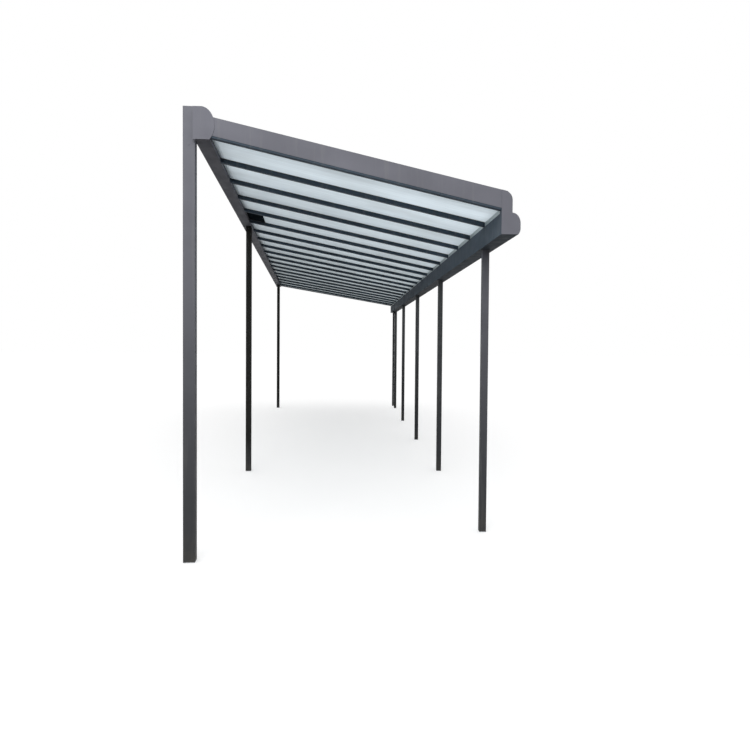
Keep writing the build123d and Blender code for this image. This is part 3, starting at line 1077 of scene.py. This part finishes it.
@dataclass(frozen=True)
class RafterDressing:
    """Gaskets on both sides of each rafter and cover strip, and the cover strips' screws."""

    plan: RoofPlan
    finishes: Finishes
    half_width: float = 0.025
    rafter_top: float = 0.035
    strip_top: float = 0.062
    lip: float = 0.003
    wall_gap: float = 0.002
    lower_end: float = -0.0005
    upper_end: float = 0.0375
    edge_face: float = 0.060
    edge_wall_gap: float = 0.04
    screw_margins: Pair = (0.11, 0.03)
    screw_spacing: float = 0.32
    screw_radius: float = 0.007
    screw_sink: float = 0.0002

    def lips(self, low: bool) -> Array:
        """Section of the gasket lips on the +y side of a line, in shares of the lip's reach.

        Args:
            low: True for the lips under the sheets, False for those on top of them.

        Returns:
            Corners as y from the line and height over the rafters' underside.
        """
        if low:
            shares = np.array([0, 0.7, 1, 0])
            foot, top = self.rafter_top, self.plan.sheet_underside
            heights = [foot - self.lip, foot - 0.6 * self.lip, top, top]
        else:
            shares = np.array([0, 1, 0.8, 0])
            foot = self.plan.sheet_top
            heights = [foot, foot, foot + 0.5 * self.lip, foot + 0.9 * self.lip]
        return np.stack([self.half_width + shares * self.lip, heights], axis=-1)

    def gaskets(self) -> None:
        """Make the gaskets of the rafters and of the cover strips."""
        for name, low, end in (
            ("rafter_gaskets", True, self.lower_end),
            ("cover_strip_gaskets", False, self.upper_end),
        ):
            section = self.lips(low)
            sides = (section, section * [-1, 1])
            bars = [self.plan.sloped_bars(self.plan.rafters, side, self.wall_gap, end) for side in sides]
            make_piece(name, Skin.joined(bars), self.finishes.rubber)

    def edge_gaskets(self) -> None:
        """Make the gaskets where the end sheets enter the edge rafters' grooves."""
        shift = [self.edge_face - self.half_width, 0]
        front, rear = np.array([0.0]), np.array([self.plan.length])
        made = []
        for low in (True, False):
            section = self.lips(low) + shift
            for line, side in ((front, section), (rear, section * [-1, 1])):
                made.append(self.plan.sloped_bars(line, side, self.edge_wall_gap, self.lower_end))
        make_piece("edge_gaskets", Skin.joined(made), self.finishes.rubber)

    def screws(self) -> None:
        """Make the screws down the middle of the cover strips."""
        level = self.strip_top - self.screw_sink
        rows = [
            self.plan.row_on_slope(line, line, self.screw_margins, self.screw_spacing, level)
            for line in self.plan.rafters
        ]
        places, normals = (np.concatenate(part) for part in zip(*rows))
        heads = screws(Head.HEXAGON, places, normals, self.screw_radius)
        make_piece("cover_strip_screws", heads, self.finishes.screw)

    def build(self) -> None:
        """Make every piece."""
        self.gaskets()
        self.edge_gaskets()
        self.screws()


@dataclass(frozen=True)
class EndDressing:
    """Rivets along the fascias' flanges and flat screws in the end caps. The cap screws' places
    are x and z from the lower corner of each profile's section, on its -x side."""

    plan: RoofPlan
    finishes: Finishes
    fascia_top: float = 0.173
    flange_middle: float = 0.0345
    rivet_margins: Pair = (0.12, 0.05)
    rivet_spacing: float = 0.38
    rivet_radius: float = 0.005
    rivet_sink: float = 0.0005
    cap_thickness: float = 0.004
    cap_screw_radius: float = 0.0055
    cap_screw_sink: float = 0.0009
    wall_screws: tuple[Pair, ...] = (
        (0.024, 0.024),
        (0.024, 0.219),
        (0.104, 0.203),
        (0.098, 0.026),
    )
    gutter_screws: tuple[Pair, ...] = (
        (0.020, 0.020),
        (0.118, 0.020),
        (0.066, 0.160),
        (0.024, 0.290),
    )

    def rivets(self) -> None:
        """Make the rivets that hold the fascias' flanges to the edge rafters."""
        level = self.fascia_top - self.rivet_sink
        length = self.plan.length
        rows = [
            self.plan.row_on_slope(y, edge, self.rivet_margins, self.rivet_spacing, level)
            for y, edge in ((self.flange_middle, 0.0), (length - self.flange_middle, length))
        ]
        places, normals = (np.concatenate(part) for part in zip(*rows))
        heads = screws(Head.DOME, places, normals, self.rivet_radius)
        make_piece("fascia_rivets", heads, self.finishes.by_slot[Slot.FRAME])

    def cap_screws(self) -> None:
        """Make the sunk screws in the caps of the wall profile and of the gutter beam."""
        wall, gutter = np.array(self.wall_screws), np.array(self.gutter_screws)
        on_wall = self.plan.wall_underside + wall[:, 1]
        on_gutter = self.plan.gutter_underside + gutter[:, 1]
        z = np.concatenate([on_wall, on_gutter])
        places, normals = [], []
        for edge, way in ((0.0, -1.0), (self.plan.length, 1.0)):
            corner = self.plan.wall_x(edge) - self.plan.wall_seat
            x = np.concatenate([corner + wall[:, 0], gutter[:, 0]])
            y = np.full_like(x, edge + way * (self.cap_thickness - self.cap_screw_sink))
            places.append(self.plan.placed(np.stack([x, y, z], axis=-1)))
            normals.append(np.tile([0, way, 0], (len(x), 1)))
        heads = screws(Head.FLAT, np.concatenate(places), np.concatenate(normals), self.cap_screw_radius)
        make_piece("end_cap_screws", heads, self.finishes.by_slot[Slot.FRAME])

    def build(self) -> None:
        """Make every piece."""
        self.rivets()
        self.cap_screws()


@dataclass(frozen=True)
class WallProfileDressing:
    """Seals of the wall profile: one over the sheets under its nose, two along its back, and
    the plugs in its back that close the fixing holes."""

    plan: RoofPlan
    finishes: Finishes
    height: float = 0.246
    pocket_top: float = 0.0645
    seal_depth: float = 0.009
    seal_play: float = 0.0005
    strip_half: float = 0.0285
    edge_face: float = 0.064
    tape_width: float = 0.016
    tape_depth: float = 0.003
    tape_chamfer: float = 0.001
    tape_margin: float = 0.002
    tape_levels: Pair = (0.012, 0.218)
    plug_spacing: float = 0.78
    plug_margin: float = 0.34
    plug_radius: float = 0.008
    plug_sink: float = 0.0005

    def nose_seal(self) -> None:
        """Make the seal that closes the gap over each sheet, between the cover strips."""
        lines = self.plan.rafters
        front = np.concatenate([[self.edge_face], lines + self.strip_half])
        rear = np.concatenate([lines - self.strip_half, [self.plan.length - self.edge_face]])
        reach = np.array([self.seal_play, self.seal_depth, 0.7 * self.seal_depth, self.seal_play])
        foot, top = self.plan.sheet_top, self.pocket_top

        def end(y: Array) -> Array:
            """Corners of the seal across the canopy at each y, given as a column."""
            return self.plan.on_slope(self.plan.wall_x(y) + reach, y, y, np.array([foot, foot, top, top]))

        seals = prisms(end(front[:, None]), end(rear[:, None]))
        make_piece("nose_seals", seals, self.finishes.rubber)

    def back_tapes(self) -> None:
        """Make the sealing tapes along the profile's flat back."""
        y = np.array([[self.tape_margin], [self.plan.length - self.tape_margin]])
        x = self.plan.wall_x(y) - self.plan.wall_seat + np.array([0, -1, -1, 0]) * self.tape_depth
        low, high = self.tape_chamfer, self.tape_width - self.tape_chamfer
        height = np.array([0, low, high, self.tape_width])
        made = []
        for level in self.tape_levels:
            z = self.plan.wall_underside + level + height
            ends = self.plan.placed(np.stack(np.broadcast_arrays(x, y, z), axis=-1))
            made.append(prisms(ends[:1], ends[1:]))
        make_piece("back_sealing_tapes", Skin.joined(made), self.finishes.rubber)

    def plugs(self) -> None:
        """Make the domed plugs along the middle of the back."""
        count = int(self.plan.length / self.plug_spacing)
        y = np.linspace(self.plug_margin, self.plan.length - self.plug_margin, count)
        x = self.plan.wall_x(y) - self.plan.wall_seat + self.plug_sink
        z = np.full_like(y, self.plan.wall_underside + self.height / 2)
        places = self.plan.placed(np.stack([x, y, z], axis=-1))
        normals = np.tile([-1.0, -self.plan.splay, 0], (count, 1))
        heads = screws(Head.DOME, places, normals, self.plug_radius)
        make_piece("back_plugs", heads, self.finishes.rubber)

    def build(self) -> None:
        """Make every piece."""
        self.nose_seal()
        self.back_tapes()
        self.plugs()


@dataclass(frozen=True)
class GutterDressing:
    """Inside of the gutter: a leaf strainer over the outlet, at the last right post."""

    plan: RoofPlan
    finishes: Finishes
    floor: float = 0.052
    strainer_x: float = 0.03585
    strainer_radius: float = 0.024
    wires: int = 10
    wire_radius: float = 0.0012
    wire_sides: int = 6
    wire_steps: int = 8
    wire_turn: float = 0.96
    crown_share: float = 1.3
    crown_lift: float = 0.004
    ring_sides: int = 24

    def wire_sections(self) -> Array:
        """Sections of the strainer's wires, which rise round a ring and meet over its middle.

        Wire w has the radius R cos t and the height k R sin t for t from 0 to nearly a quarter
        turn, at the angle 2 pi w / wires, with a round section about that line. R is the
        strainer's radius and k the crown's share of it.

        Returns:
            The points, as wires by steps by sides by 3, from the gutter's floor.
        """
        t = np.linspace(0, np.pi / 2 * self.wire_turn, self.wire_steps + 1)[:, None]
        around = np.arange(self.wire_sides) * 2 * np.pi / self.wire_sides
        turn = (np.arange(self.wires) * 2 * np.pi / self.wires)[:, None, None]
        out = self.strainer_radius * np.cos(t) + self.wire_radius * np.cos(around) * np.cos(t)
        height = self.crown_share * self.strainer_radius * np.sin(t)
        rise = self.crown_lift + height + self.wire_radius * np.cos(around) * np.sin(t)
        side = self.wire_radius * np.sin(around)
        x = self.strainer_x + out * np.cos(turn) - side * np.sin(turn)
        y = self.plan.post_lines[-1] + out * np.sin(turn) + side * np.cos(turn)
        return np.stack(np.broadcast_arrays(x, y, rise), axis=-1)

    def strainer(self) -> None:
        """Make the strainer: its wires and the ring that they stand on."""
        base = self.plan.gutter_underside + self.floor
        grid = self.plan.placed(self.wire_sections() + np.array([0, 0, base]))
        made = [prisms(grid[:, step], grid[:, step + 1]) for step in range(self.wire_steps)]
        ring = np.array([(0.86, 0.0), (1.0, 0.0), (1.06, 0.08), (1.0, 0.2), (0.86, 0.2)])
        centre = self.plan.placed(np.array([[self.strainer_x, self.plan.post_lines[-1], base]]))
        upright = np.array([[0, 0, 1.0]])
        made.append(turned(ring * self.strainer_radius, centre, upright, self.ring_sides))
        make_piece("gutter_strainer", Skin.joined(made), self.finishes.screw)

    def build(self) -> None:
        """Make every piece."""
        self.strainer()


@dataclass(frozen=True)
class Station:
    """One post: its middle, its side, whether it is turned to the wall line, and its top."""

    middle: Array
    size: float
    is_turned: bool
    top: float


@dataclass(frozen=True)
class PostDressing:
    """Screws at the feet and heads of the posts and the corner post's bolts."""

    plan: RoofPlan
    finishes: Finishes
    corner_size: float = 0.090
    left_size: float = 0.070
    right_size: float = 0.060
    setback: float = 0.030
    right_x: float = 0.056
    last_right_x: float = 0.09415
    left_partners: tuple[int, int] = (1, 4)
    foot_level: float = 0.036
    head_drop: float = 0.035
    screw_radius: float = 0.005
    screw_sink: float = 0.0002
    bolt_radius: float = 0.010
    bolt_levels: Pair = (0.05, 0.19)

    def turned_by_wall(self, offsets: Array) -> Array:
        """Turn flat offsets with the wall line."""
        turn = np.arctan(self.plan.splay)
        return offsets @ np.array([[np.cos(turn), np.sin(turn)], [-np.sin(turn), np.cos(turn)]])

    def corner_middle(self) -> Array:
        """Find the middle of the corner post.

        Returns:
            Its x and y in the drawing.
        """
        start = np.array([self.plan.wall_x(0.0) - self.plan.wall_seat, 0.0])
        offset = np.array([-self.corner_size / 2, self.setback + self.corner_size / 2])
        return start + self.turned_by_wall(offset)

    def stations(self) -> list[Station]:
        """List where every post stands.

        Returns:
            The corner post, the left posts beside their partners on the right, and the right
            posts, the last of which stands further out.
        """
        lines = self.plan.post_lines
        top = self.plan.wall_underside
        posts = [Station(self.corner_middle(), self.corner_size, True, top)]
        behind = self.turned_by_wall(np.array([-self.left_size / 2, 0.0]))
        for y in lines[list(self.left_partners)]:
            middle = np.array([self.plan.wall_x(y), y]) + behind
            posts.append(Station(middle, self.left_size, True, top))
        x = np.full_like(lines, self.right_x)
        x[-1] = self.last_right_x
        for middle in np.stack([x, lines], axis=-1):
            posts.append(Station(middle, self.right_size, False, self.plan.gutter_underside))
        return posts

    def post_screws(self) -> None:
        """Make one screw in each face at the foot and two at the head of every post."""
        faces = np.array([[1.0, 0], [0, 1.0], [-1.0, 0], [0, -1.0]])
        places, normals = [], []
        for post in self.stations():
            ways = self.turned_by_wall(faces) if post.is_turned else faces
            for level, chosen in ((self.foot_level, ways), (post.top - self.head_drop, ways[1::2])):
                flat = post.middle + chosen * (post.size / 2 - self.screw_sink)
                height = np.full((len(chosen), 1), level)
                places.append(np.concatenate([flat, height], axis=1))
                normals.append(np.concatenate([chosen, 0 * height], axis=1))
        centres = self.plan.placed(np.concatenate(places))
        heads = screws(Head.HEXAGON, centres, np.concatenate(normals), self.screw_radius)
        make_piece("post_screws", heads, self.finishes.by_slot[Slot.POST])

    def corner_bolts(self) -> None:
        """Make the bolts through the corner post into the wall profile."""
        way = self.turned_by_wall(np.array([-1.0, 0.0]))
        flat = self.corner_middle() + way * (self.corner_size / 2 - self.screw_sink)
        levels = self.plan.wall_underside + np.array(self.bolt_levels)
        places = np.array([[*flat, level] for level in levels])
        normals = np.tile([*way, 0.0], (len(levels), 1))
        heads = screws(Head.HEXAGON, self.plan.placed(places), normals, self.bolt_radius)
        make_piece("corner_bolts", heads, self.finishes.screw)

    def build(self) -> None:
        """Make every piece."""
        self.post_screws()
        self.corner_bolts()


@dataclass(frozen=True)
class Studio:
    """Pale floor, even light, one soft lamp before the canopy and the camera."""

    place: Triple = (0.3051, -11.4163, 1.70)
    yaw: float = 0.0428
    pitch: float = -0.0276
    roll: float = 0.0076
    sensor: float = 36.0
    lens: float = 31.2
    shift: float = -0.0177
    far_clip: float = 500.0
    floor_half: float = 90.0
    floor_seen: float = 0.58
    floor_glow: float = 0.44
    floor_lit: float = 0.12
    dome_levels: Pair = (0.15, 1.45)
    key_place: Triple = (-1.2, -12.5, 6.4)
    key_aim: Triple = (0.0, -6.4, 3.0)
    key_size: Pair = (6.0, 3.0)
    key_power: float = 380.0

    def floor(self) -> None:
        """Make the floor: pale where it is seen, mid grey for the light it sends back."""
        half = self.floor_half
        corners = [(-half, -half, 0), (half, -half, 0), (half, half, 0), (-half, half, 0)]
        mesh = bpy.data.meshes.new("floor")
        mesh.from_pydata(corners, [], [(0, 1, 2, 3)])
        graph = Graph.of_material("pale_floor")
        seen = graph.seen_straight()
        colour = graph.blend(seen, (self.floor_lit,) * 3, (self.floor_seen,) * 3)
        glow = graph.math("MULTIPLY", seen, self.floor_glow)
        values = {"Roughness": 1.0, "Specular IOR Level": 0.0, "Emission Color": (1, 1, 1, 1)}
        mesh.materials.append(graph.finish({"Base Color": colour, "Emission Strength": glow}, values))
        floor = bpy.data.objects.new("floor", mesh)
        bpy.context.scene.collection.objects.link(floor)

    def world(self) -> None:
        """Make the surroundings: white where they are seen, and a dome that lights the canopy
        evenly, brighter overhead than at its foot."""
        graph = Graph(bpy.data.worlds.new("studio"))
        way = graph.add("ShaderNodeTexCoord").outputs["Generated"]
        height = graph.add("ShaderNodeSeparateXYZ", {0: way}).outputs["Z"]
        low, high = self.dome_levels
        dome = graph.math("MULTIPLY_ADD", height, high - low, low)
        lit = graph.math("MAXIMUM", dome, low)
        level = graph.math("MAXIMUM", lit, graph.seen_straight())
        graph.finish({"Strength": level}, {"Color": (1, 1, 1, 1)})
        bpy.context.scene.world = graph.owner

    def key_light(self) -> None:
        """Hang the soft lamp high before the front end, so that uprights fade downwards."""
        light = bpy.data.lights.new("key_light", "AREA")
        light.shape = "RECTANGLE"
        light.size, light.size_y = self.key_size
        light.energy = self.key_power
        lamp = bpy.data.objects.new("key_light", light)
        aim = Vector(self.key_aim) - Vector(self.key_place)
        lamp.rotation_mode = "QUATERNION"
        lamp.rotation_quaternion = aim.to_track_quat("-Z", "Y")
        lamp.location = self.key_place
        bpy.context.scene.collection.objects.link(lamp)

    def camera(self) -> None:
        """Set up the camera at the photograph's place, eye height and angle. Its picture is
        shifted a little, as the photograph is cropped off centre."""
        data = bpy.data.cameras.new("camera")
        data.sensor_width, data.lens = self.sensor, self.lens
        data.shift_y, data.clip_end = self.shift, self.far_clip
        yaw, pitch, roll = self.yaw, self.pitch, self.roll
        forward = Vector((np.sin(yaw) * np.cos(pitch), np.cos(yaw) * np.cos(pitch), np.sin(pitch)))
        level = Vector((np.cos(yaw), -np.sin(yaw), 0))
        upright = level.cross(forward)
        right = np.cos(roll) * level + np.sin(roll) * upright
        up = -np.sin(roll) * level + np.cos(roll) * upright
        camera = bpy.data.objects.new("camera", data)
        turn = Matrix((right, up, -forward)).transposed()
        camera.matrix_world = Matrix.Translation(self.place) @ turn.to_4x4()
        bpy.context.scene.collection.objects.link(camera)
        bpy.context.scene.camera = camera

    def build(self) -> None:
        """Set up everything that isn't the canopy."""
        self.floor()
        self.world()
        self.key_light()
        self.camera()
        bpy.context.scene.view_settings.view_transform = "Standard"


def main() -> None:
    """Build the canopy's looks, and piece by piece."""
    logging.basicConfig(level=logging.INFO, format="%(name)s: %(message)s")
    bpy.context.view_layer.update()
    plan = RoofPlan()
    finishes = Finishes.build(plan)
    finishes.dress_frame()
    for part in (
        RoofSheets(plan, finishes),
        RafterDressing(plan, finishes),
        EndDressing(plan, finishes),
        WallProfileDressing(plan, finishes),
        GutterDressing(plan, finishes),
        PostDressing(plan, finishes),
        Studio(),
    ):
        part.build()
        LOG.info("%s done", type(part).__name__)


if __name__ == "__main__":
    main()
